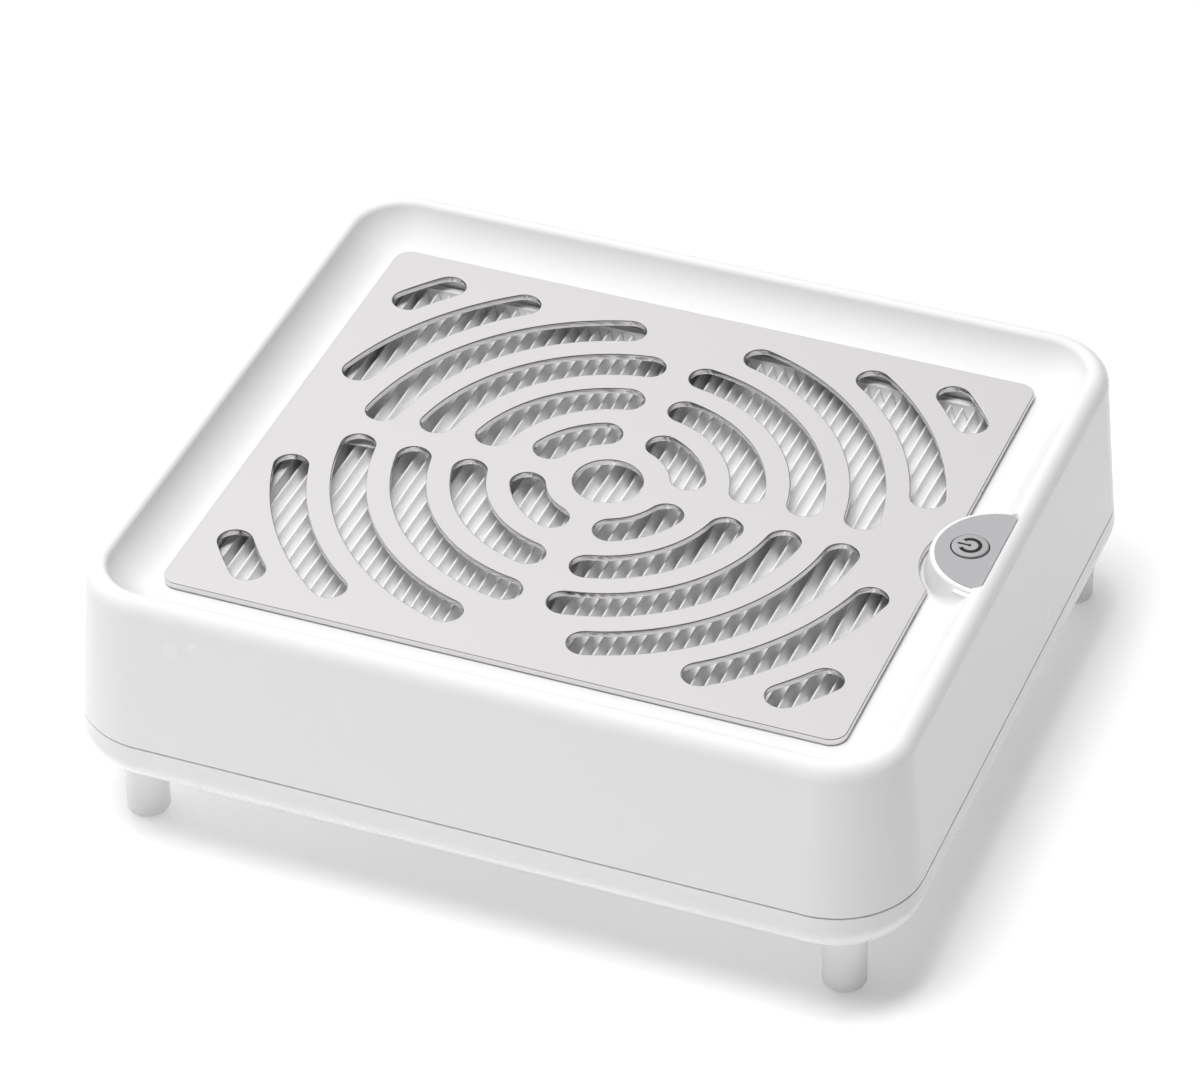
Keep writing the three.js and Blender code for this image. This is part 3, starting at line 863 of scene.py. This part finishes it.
    def foot_radius(self, x: float) -> float:
        """Radius of the hollow between the boss's wall and the tray at a distance along +X.

        Args:
            x: distance from the centre.

        Returns:
            The radius, never quite zero.
        """
        grown = self.boss_foot + max(x - self.boss_foot_start, 0) * self.boss_foot_growth
        room = self.boss_top - self.boss_roll - self.tray_height(x)
        return max(min(grown, room), 0.05 * MM)

    def build_boss(self) -> bpy.types.Object:
        """Makes the round boss that carries the panel and runs softly into rim and tray.

        Returns:
            The boss as an open skin lying on the shell's own.
        """
        top, roll, round_lip = self.boss_top, self.boss_roll, 0.15 * MM
        seat = self.seat_outline()
        line = [(-1.2 * MM, top - 1.1 * MM), (0, top - 1.1 * MM)]
        line += arc((round_lip, top - round_lip), round_lip, 180, 90, 4)
        line += arc((self.boss_lip, top - roll), roll, 90, 8, 10)
        sections = []
        for offset, height in line:
            ring = widened(seat, offset)
            blend = offset > round_lip / 2
            sections.append(
                [Vector((x, y, self.blend_height(x, height) if blend else height)) for x, y in ring]
            )
        wall = self.boss_lip + roll + self.boss_draft
        feet = [self.foot_radius(x) for x, _ in widened(seat, wall)]
        for angle in range(0, 91, 9):
            across, rise = 1 - math.cos(math.radians(angle)), 1 - math.sin(math.radians(angle))
            ring = []
            for i, foot in enumerate(feet):
                x, y = widened(seat, wall + foot * across)[i]
                ring.append(Vector((x, y, self.foot_height(x, foot, rise))))
            sections.append(ring)
        ring = []
        for i, foot in enumerate(feet):
            x, y = widened(seat, wall + foot + 0.8 * MM)[i]
            ring.append(Vector((x, y, self.foot_height(x, foot, 0) - 0.12 * MM)))
        sections.append(ring)
        bm = bmesh.new()
        loft(bm, sections, closed=True)
        if sum(face.normal.z * face.calc_area() for face in bm.faces) < 0:
            bmesh.ops.reverse_faces(bm, faces=bm.faces)
        return finish_mesh(bm, "button_boss", 50)

    def foot_height(self, x: float, foot: float, rise: float) -> float:
        """Height of the hollow at the boss's foot, which dives under the rim at its end.

        Args:
            x: place along the length.
            foot: radius of the hollow there.
            rise: share of the radius by which this point stands above the tray.

        Returns:
            The height of the skin.
        """
        skin = self.tray_height(x)
        over = skin - (self.boss_top - self.boss_roll)
        return skin + foot * rise - min(max(over * 3, self.past_crest(x) * 2, 0), 1.2 * MM)

    def past_crest(self, x: float) -> float:
        """How far a place lies outside the rim's crest, or 0 where it lies inside.

        Args:
            x: distance from the centre.

        Returns:
            The distance, zero or more.
        """
        return max(x - self.corner_x - self.rim_shape()[3], 0)

    def blend_height(self, x: float, height: float) -> float:
        """Height of the boss's lip where it meets the rim.

        Args:
            x: place along the length.
            height: height of the lip alone.

        Returns:
            A soft maximum of the two, sunk under the rim's skin where the lip has ended.
        """
        skin = self.tray_height(x)
        width = 0.9 * MM
        near = max(width - abs(height - skin), 0)
        lift = near * near / (4 * width)
        sink = min(max((skin - height - 0.5 * width) * 4, self.past_crest(x) * 3, 0), 1.2 * MM)
        return max(height, skin) + lift - sink

    def build_inner_parts(self) -> bpy.types.Object:
        """Makes the ledge, the well's floor with its round inlet, and the screw posts.

        Returns:
            The inner parts as one piece.
        """
        bm = bmesh.new()
        ledge_outer = round_rectangle(self.well_half_x + 1 * MM, self.well_half_y + 1 * MM, 3 * MM)
        ledge_inner = round_rectangle(
            self.well_half_x - 4.5 * MM, self.well_half_y - 4.5 * MM, 2 * MM
        )
        ledge_low = self.well_floor + 1 * MM
        flat_plate(bm, [ledge_outer, ledge_inner], ledge_low, self.ledge_top, 0.4 * MM)
        floor_outer = round_rectangle(self.well_half_x + 1 * MM, self.well_half_y + 1 * MM, 3 * MM)
        inlet = arc((0, 0), self.inlet_radius, 0, 360, 96)[:-1]
        floor_top = self.well_floor + 2.2 * MM
        flat_plate(bm, [floor_outer, inlet], self.well_floor, floor_top, 0.5 * MM)
        for name in ("front_left", "front_right", "rear_left", "rear_right"):
            low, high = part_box(f"foot_screw_{name}")
            centre = ((low.x + high.x) / 2, (low.y + high.y) / 2)
            post = [(1.75 * MM, 24 * MM), (4.4 * MM, 24 * MM), (4.4 * MM, self.tray_floor - 2 * MM)]
            spin_profile(bm, post, centre, 32)
        return finish_mesh(bm, "shell_well", 40, crisp_levels=True)

    def make(self) -> None:
        """Builds the shell and binds it."""
        skin = self.build_skin()
        apply_cut(skin, self.build_seat_cutter())
        apply_cut(skin, self.build_socket_cutter())
        for polygon in skin.data.polygons:
            polygon.use_smooth = True
        skin.data.set_sharp_from_angle(angle=math.radians(35))
        settle_normals(skin)
        self.bind(skin, "housing", Slot.SHELL, ("upper_housing",))
        self.bind(self.build_boss(), "housing", Slot.SHELL, ())
        self.bind(self.build_inner_parts(), "housing", Slot.SHELL, ())
        self.bind(self.build_socket_pad(), "housing", Slot.SHELL, ())


@dataclass
class FloorPan(Piece):
    """The pan under the parting line, with its rounded lower edge and the exhaust slots."""

    shell: Shell
    seam_high: float = 33.25 * MM
    bottom: float = 20.4 * MM
    bottom_radius: float = 9 * MM
    wall: float = 2.5 * MM
    slot_rings: tuple[float, ...] = (28 * MM, 39 * MM, 50 * MM)
    slots_per_ring: int = 6
    slot_half_width: float = 2.6 * MM

    def section(self) -> Outline:
        """The pan's section from the floor's top, out and up to the seam, and back outside.

        Returns:
            Reach and height pairs, the reach counted outwards from the corner axis.
        """
        turn_height = self.bottom + self.bottom_radius
        reach_high = self.shell.wall_reach(self.seam_high)
        reach_low = self.shell.wall_reach(turn_height)
        inner_radius = self.bottom_radius - self.wall
        centre = (reach_low - self.bottom_radius, turn_height)
        inside = [(1 * MM, self.bottom + self.wall)] + arc(centre, inner_radius, -90, 0, 10)
        tongue = [
            (reach_high - self.wall, self.seam_high - 3 * MM),
            (reach_high - 4.1 * MM, self.seam_high - 3 * MM),
            (reach_high - 4.1 * MM, self.seam_high + 2.5 * MM),
            (reach_high - 2.8 * MM, self.seam_high + 2.5 * MM),
            (reach_high - 2.8 * MM, self.seam_high),
        ]
        seam_round = 0.3 * MM
        seam = arc((reach_high - seam_round, self.seam_high - seam_round), seam_round, 90, 0, 4)
        outside = arc(centre, self.bottom_radius, 0, -90, 18)
        return inside + tongue + seam + outside + [(1 * MM, self.bottom)]

    def make(self) -> None:
        """Builds the pan and binds it."""
        bm = bmesh.new()
        corner_x, corner_y = self.shell.corner_x, self.shell.corner_y
        sweep_round_rectangle(bm, self.section(), corner_x, corner_y, self.shell.corner_steps)
        bmesh.ops.recalc_face_normals(bm, faces=bm.faces)
        lap = 1 * MM
        outline = round_rectangle(corner_x + lap, corner_y + lap, lap, self.shell.corner_steps)
        slots = []
        span = 360 / self.slots_per_ring
        for radius in self.slot_rings:
            for i in range(self.slots_per_ring):
                start, end = (i + 0.12) * span, (i + 0.88) * span
                slots.append(arc_slot(radius, self.slot_half_width, start, end))
        flat_plate(bm, [outline, *slots], self.bottom, self.bottom + self.wall, 0)
        bmesh.ops.remove_doubles(bm, verts=bm.verts, dist=0.01 * MM)
        pan = finish_mesh(bm, "floor_pan")
        settle_normals(pan)
        self.bind(pan, "housing", Slot.SHELL, ("bottom_cover",))


@dataclass
class Leg(Piece):
    """One round leg with a softened foot."""

    corner: str
    radius: float = 5.75 * MM
    edge: float = 0.9 * MM

    def make(self) -> None:
        """Builds the leg where its node stands and binds it."""
        node = f"foot_{self.corner}"
        low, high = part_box(node)
        centre = ((low.x + high.x) / 2, (low.y + high.y) / 2)
        pad_room = 4.7 * MM
        pad_top, pad_foot = low.z + 1.1 * MM, low.z + 0.1 * MM
        profile = [(0, pad_top), (pad_room, pad_top), (pad_room, pad_foot)]
        profile += [(self.radius - self.edge, low.z)]
        profile += arc((self.radius - self.edge, low.z + self.edge), self.edge, -90, 0, 8)[1:]
        profile += [(self.radius, high.z + 2.2 * MM), (0, high.z + 2.2 * MM)]
        bm = bmesh.new()
        spin_profile(bm, profile, centre, 72)
        leg = finish_mesh(bm, f"leg_{self.corner}", 50)
        self.bind(leg, "housing", Slot.SHELL, (node,))


# ------------------------------------------------------------------ top plate, panel and button
@dataclass
class GrillePlate(Piece):
    """The slotted steel plate that lies in the tray."""

    corner: float = 4.5 * MM
    centre_hole: float = 9.2 * MM
    slot_half_width: float = 4.58 * MM
    first_ring: float = 20.8 * MM
    ring_pitch: float = 15.5 * MM
    slot_ends: tuple[Point, ...] = (
        (22.9, 67.1),
        (12.9, 77.1),
        (9.0, 81.0),
        (6.9, 73.8),
        (15.8, 52.9),
        (35.6, 42.8),
    )
    notch_x: float = 106 * MM
    notch_radius: float = 20 * MM
    edge: float = 0.26 * MM

    def slots(self) -> list[Outline]:
        """The outlines of all the arc slots, row by row and quarter by quarter.

        Returns:
            One outline for each slot.
        """
        outlines = []
        for row, (start, end) in enumerate(self.slot_ends):
            radius = self.first_ring + self.ring_pitch * row
            slot = arc_slot(radius, self.slot_half_width, start, end)
            for sign_x in (1, -1):
                for sign_y in (1, -1):
                    turned = [(sign_x * x, sign_y * y) for x, y in slot]
                    outlines.append(turned if sign_x == sign_y else turned[::-1])
        return outlines

    def border(self, half_x: float, half_y: float) -> Outline:
        """The plate's outer outline with the round notch for the button boss.

        Args:
            half_x: half the length at this level.
            half_y: half the width at this level.

        Returns:
            The outline, seen from above.
        """
        outline = round_rectangle(half_x, half_y, self.corner, 10)
        half = math.degrees(math.acos((self.notch_x - half_x) / self.notch_radius))
        notch = arc((self.notch_x, 0), self.notch_radius, 180 + half, 180 - half, 40)
        return outline + notch

    def make(self) -> None:
        """Builds the plate and binds it."""
        low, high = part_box("grille_plate")
        hole = arc((0, 0), self.centre_hole, 0, 360, 72)[:-1]
        bm = bmesh.new()
        border = self.border(high.x, high.y)
        flat_plate(bm, [border, hole, *self.slots()], low.z, high.z, self.edge)
        plate = finish_mesh(bm, "slotted_plate", 40, crisp_levels=True)
        self.bind(plate, "grille", Slot.STEEL, ("grille_plate",))


@dataclass
class ButtonPanel(Piece):
    """The silver half-moon panel let into the boss."""

    boss_x: float = 106 * MM
    radius: float = 16.3 * MM
    corner: float = 2 * MM
    hole_clearance: float = 0.25 * MM

    def make(self) -> None:
        """Builds the panel with its button hole and binds it."""
        low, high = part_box("button_panel")
        button_low, button_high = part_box("power_button")
        button_x = (button_low.x + button_high.x) / 2
        outline = half_moon(self.boss_x, self.radius, self.corner, 64)
        hole = arc((button_x, 0), 4.8 * MM + self.hole_clearance, 0, 360, 64)[:-1]
        bm = bmesh.new()
        flat_plate(bm, [outline, hole], low.z, high.z, 0.12 * MM)
        panel = finish_mesh(bm, "silver_panel", 40, crisp_levels=True)
        self.bind(panel, "housing", Slot.PANEL, ("button_panel",))


@dataclass
class PowerButton(Piece):
    """The round push button with its generic power mark."""

    radius: float = 4.8 * MM
    edge: float = 0.35 * MM
    mark_radius: float = 2.55 * MM
    mark_width: float = 1.0 * MM
    mark_gap: float = 38.0
    bar_width: float = 0.56 * MM
    bar_length: float = 2.9 * MM
    mark_height: float = 0.03 * MM

    def make(self) -> None:
        """Builds cap and mark and binds them."""
        low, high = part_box("power_button")
        centre = ((low.x + high.x) / 2, 0.0)
        top = high.z - 0.15 * MM
        profile = [(0, low.z), (1.7 * MM, low.z), (1.7 * MM, 71.7 * MM), (6.4 * MM, 71.7 * MM)]
        profile += [(6.4 * MM, 72.7 * MM), (self.radius, 72.7 * MM)]
        profile += arc((self.radius - self.edge, top - self.edge), self.edge, 0, 90, 6)
        profile += [(3.2 * MM, top + 0.04 * MM), (1.6 * MM, top + 0.07 * MM), (0, top + 0.08 * MM)]
        bm = bmesh.new()
        spin_profile(bm, profile, centre, 72)
        cap = finish_mesh(bm, "button_cap", 40)
        self.bind(cap, "button", Slot.BUTTON, ("power_button",))

        base = top + 0.02 * MM
        half = self.mark_width / 2
        start, end = 180 + self.mark_gap, 540 - self.mark_gap
        outer = arc(centre, self.mark_radius + half, start, end, 40)
        inner = arc(centre, self.mark_radius - half, end, start, 40)
        bm = bmesh.new()
        mark_top = top + 0.08 * MM + self.mark_height
        flat_plate(bm, [outer + inner], base, mark_top, 0)
        bar_half = self.bar_width / 2
        right, left = centre[0] - 0.2 * MM, centre[0] - 0.2 * MM - self.bar_length
        tip = arc((left, 0), bar_half, 90, 270, 8) + arc((right, 0), bar_half, 270, 450, 8)
        flat_plate(bm, [tip], base, mark_top, 0)
        dot = arc((right, 0), self.bar_width * 0.8, 0, 360, 20)[:-1]
        flat_plate(bm, [dot], base, mark_top + 0.01 * MM, 0)
        mark = finish_mesh(bm, "power_mark", 40, crisp_levels=True)
        self.bind(mark, "button", Slot.BLACK, ())


# ------------------------------------------------------------------ filter
@dataclass
class PleatedFilter(Piece):
    """The folded fleece and its paper pull tab."""

    pitch: float = 3.35 * MM
    depth: float = 5.2 * MM
    fold_radius: float = 0.3 * MM
    sheet: float = 0.5 * MM
    rows: int = 60
    waviness: float = 0.12 * MM

    def fold_line(self, low: float, high: float, half_x: float) -> Outline:
        """The zigzag of the folds with rounded crests and valleys.

        Args:
            low: height of the valleys.
            high: height of the crests.
            half_x: half the pack's length.

        Returns:
            Place and height pairs along the pack.
        """
        count = round(2 * half_x / self.pitch)
        line = []
        for i in range(count):
            middle = -half_x + (i + 0.5) * self.pitch
            quarter = self.pitch / 2
            line.append((middle - quarter, low))
            line.append((middle - quarter + 0.18 * MM, low + 0.25 * MM))
            line.append((middle - 0.34 * MM, high - 1.1 * MM))
            line += arc((middle, high - self.fold_radius), self.fold_radius, 160, 20, 5)
            line.append((middle + 0.34 * MM, high - 1.1 * MM))
            line.append((middle + quarter - 0.18 * MM, low + 0.25 * MM))
        line.append((half_x, low))
        return line

    def make_fleece(self) -> None:
        """Builds the folded fleece and binds it."""
        low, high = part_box("filter_media")
        bm = bmesh.new()
        line = self.fold_line(high.z - self.depth, high.z, high.x)
        verts = [bm.verts.new((x, low.y, z)) for x, z in line]
        leading = [bm.edges.new(pair) for pair in zip(verts, verts[1:])]
        step = (high.y - low.y) / self.rows
        for _ in range(self.rows):
            moved = bmesh.ops.extrude_edge_only(bm, edges=leading)["geom"]
            ends = {g for g in moved if isinstance(g, bmesh.types.BMVert)}
            bmesh.ops.translate(bm, verts=list(ends), vec=(0, step, 0))
            leading = new_edges_of(moved, ends)
        for vert in bm.verts:
            x, y = vert.co.x, vert.co.y
            along = math.sin(y / (11 * MM) + x / (7 * MM))
            along = along + 0.6 * math.sin(y / (4.7 * MM) + x * 310)
            share = (vert.co.z - low.z) / (high.z - low.z)
            vert.co.x += self.waviness * along * share
            vert.co.z -= 0.18 * MM * (0.5 + 0.5 * math.sin(y / (9 * MM) + x * 523)) * share
        bmesh.ops.recalc_face_normals(bm, faces=bm.faces)
        if sum(face.normal.z for face in bm.faces) < 0:
            bmesh.ops.reverse_faces(bm, faces=bm.faces)
        fleece = finish_mesh(bm, "pleated_fleece", 80)
        thick = fleece.modifiers.new("thickness", "SOLIDIFY")
        thick.thickness = self.sheet
        thick.offset = -1
        self.bind(fleece, "filter", Slot.FLEECE, ("filter_media",))

    def make_tab(self) -> None:
        """Builds the flat pull tab, set a little askew, and binds it."""
        low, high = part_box("filter_pull_tab")
        half_x, half_y = (high.x - low.x) / 2, (high.y - low.y) / 2
        centre = Vector(((low.x + high.x) / 2, (low.y + high.y) / 2, 0))
        outline = round_rectangle(half_x - 0.8 * MM, half_y - 1.6 * MM, 1.6 * MM, 6)
        bm = bmesh.new()
        flat_plate(bm, [outline], low.z, high.z, 0.12 * MM)
        bmesh.ops.rotate(bm, verts=bm.verts, cent=(0, 0, 0), matrix=Matrix.Rotation(0.1, 3, "Z"))
        bmesh.ops.translate(bm, verts=bm.verts, vec=centre)
        tab = finish_mesh(bm, "pull_tab", 40, crisp_levels=True)
        self.bind(tab, "filter", Slot.FLEECE, ("filter_pull_tab",))

    def make(self) -> None:
        """Builds fleece and tab."""
        self.make_fleece()
        self.make_tab()


# ------------------------------------------------------------------ CAD nodes that stay
@dataclass
class CarriedNodes:
    """CAD nodes whose shape is right, dressed with the finish of their record slot."""

    wardrobe: Wardrobe
    frame: dict
    edge: float = 0.25 * MM

    def make(self) -> None:
        """Dresses every node."""
        slots = {s["node"]: s["material_slot"] for s in self.frame["record"]["subparts"]}
        for name, node in self.frame["nodes"].items():
            self.wardrobe.dress_node(node, Slot(slots[name]))
            LOG.info("%s: dressed as %s", name, slots[name])


# ------------------------------------------------------------------ studio
@dataclass
class Studio:
    """The floor, the soft lights and the camera."""

    camera_place: tuple[float, float, float] = (0.4114, -1.0445, 0.915)
    camera_aim: tuple[float, float, float] = (0.007418, -0.024897, 0.071)
    camera_roll: float = -0.566
    lens: float = 162.74
    floor_half: float = 3.0
    floor_glow: float = 0.24
    bright_side: tuple[float, float, float] = (-0.62, 0.42, 0.66)
    bright_edge: float = 0.45
    dim_strength: float = 0.07
    bright_strength: float = 1.2

    def make_camera(self) -> None:
        """Sets the camera at the height and turn from which the object is seen."""
        data = bpy.data.cameras.new("studio_camera")
        data.lens = self.lens
        data.sensor_width = 36
        data.clip_end = 20
        camera = bpy.data.objects.new("studio_camera", data)
        bpy.context.scene.collection.objects.link(camera)
        place, aim = Vector(self.camera_place), Vector(self.camera_aim)
        turn = (aim - place).to_track_quat("-Z", "Y").to_matrix().to_4x4()
        roll = Matrix.Rotation(math.radians(self.camera_roll), 4, "Z")
        camera.matrix_world = Matrix.Translation(place) @ turn @ roll
        bpy.context.scene.camera = camera

    def make_floor(self) -> None:
        """Lays a plain pale floor."""
        bm = bmesh.new()
        bmesh.ops.create_grid(bm, x_segments=2, y_segments=2, size=self.floor_half)
        floor = finish_mesh(bm, "studio_floor")
        material = bpy.data.materials.new("pale_floor")
        material.use_nodes = True
        shader = material.node_tree.nodes["Principled BSDF"]
        shader.inputs["Base Color"].default_value = (0.9, 0.9, 0.9, 1)
        shader.inputs["Roughness"].default_value = 0.9
        shader.inputs["Specular IOR Level"].default_value = 0.1
        shader.inputs["Emission Color"].default_value = (1, 1, 1, 1)
        shader.inputs["Emission Strength"].default_value = self.floor_glow
        floor.data.materials.append(material)

    def add_softbox(
        self,
        name: str,
        place: tuple[float, float, float],
        size: tuple[float, float],
        power: float,
    ) -> None:
        """Hangs one rectangular light that faces the object and that no surface mirrors.

        Args:
            name: name of the light.
            place: where its middle is.
            size: its width and height.
            power: its power in watts.
        """
        data = bpy.data.lights.new(name, "AREA")
        data.shape = "RECTANGLE"
        data.size, data.size_y = size
        data.energy = power
        light = bpy.data.objects.new(name, data)
        bpy.context.scene.collection.objects.link(light)
        light.visible_glossy = False
        light.location = place
        light.rotation_mode = "QUATERNION"
        light.rotation_quaternion = (-Vector(place)).to_track_quat("-Z", "Y")

    def make_surround(self) -> None:
        """Sets the soft white surround, bright behind the object and dim in front of it."""
        world = bpy.data.worlds.new("studio_surround")
        world.use_nodes = True
        bpy.context.scene.world = world
        nodes, links = world.node_tree.nodes, world.node_tree.links
        background = nodes["Background"]
        place = nodes.new("ShaderNodeTexCoord")
        facing = nodes.new("ShaderNodeVectorMath")
        facing.operation = "DOT_PRODUCT"
        facing.inputs[1].default_value = self.bright_side
        links.new(place.outputs["Generated"], facing.inputs[0])
        ramp = nodes.new("ShaderNodeMapRange")
        ramp.interpolation_type = "SMOOTHSTEP"
        ramp.inputs["From Min"].default_value = self.bright_edge
        ramp.inputs["From Max"].default_value = 1.0
        ramp.inputs["To Min"].default_value = self.dim_strength
        ramp.inputs["To Max"].default_value = self.bright_strength
        links.new(facing.outputs["Value"], ramp.inputs["Value"])
        links.new(ramp.outputs["Result"], background.inputs["Strength"])
        background.inputs["Color"].default_value = (1, 0.995, 0.995, 1)

    def make(self) -> None:
        """Builds camera, floor and lights."""
        self.make_camera()
        self.make_floor()
        self.make_surround()
        self.add_softbox("main_softbox", (-0.13, -0.26, 1.5), (0.5, 0.9), 17)
        self.add_softbox("front_fill", (-0.15, -1.8, 0.45), (0.7, 0.7), 1.8)
        settings = bpy.context.scene.view_settings
        settings.view_transform = "Standard"
        settings.look = "None"


# ------------------------------------------------------------------ all together
def main() -> None:
    """Loads the frame, builds the studio and every sub-assembly."""
    logging.basicConfig(level=logging.INFO, format="%(name)s: %(message)s")
    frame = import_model()
    Studio().make()
    wardrobe = Wardrobe()
    CarriedNodes(wardrobe, frame).make()
    shell = Shell(wardrobe)
    shell.make()
    FloorPan(wardrobe, shell).make()
    for corner in ("front_left", "front_right", "rear_left", "rear_right"):
        Leg(wardrobe, corner).make()
    GrillePlate(wardrobe).make()
    ButtonPanel(wardrobe).make()
    PowerButton(wardrobe).make()
    PleatedFilter(wardrobe).make()


if __name__ == "__main__":
    main()
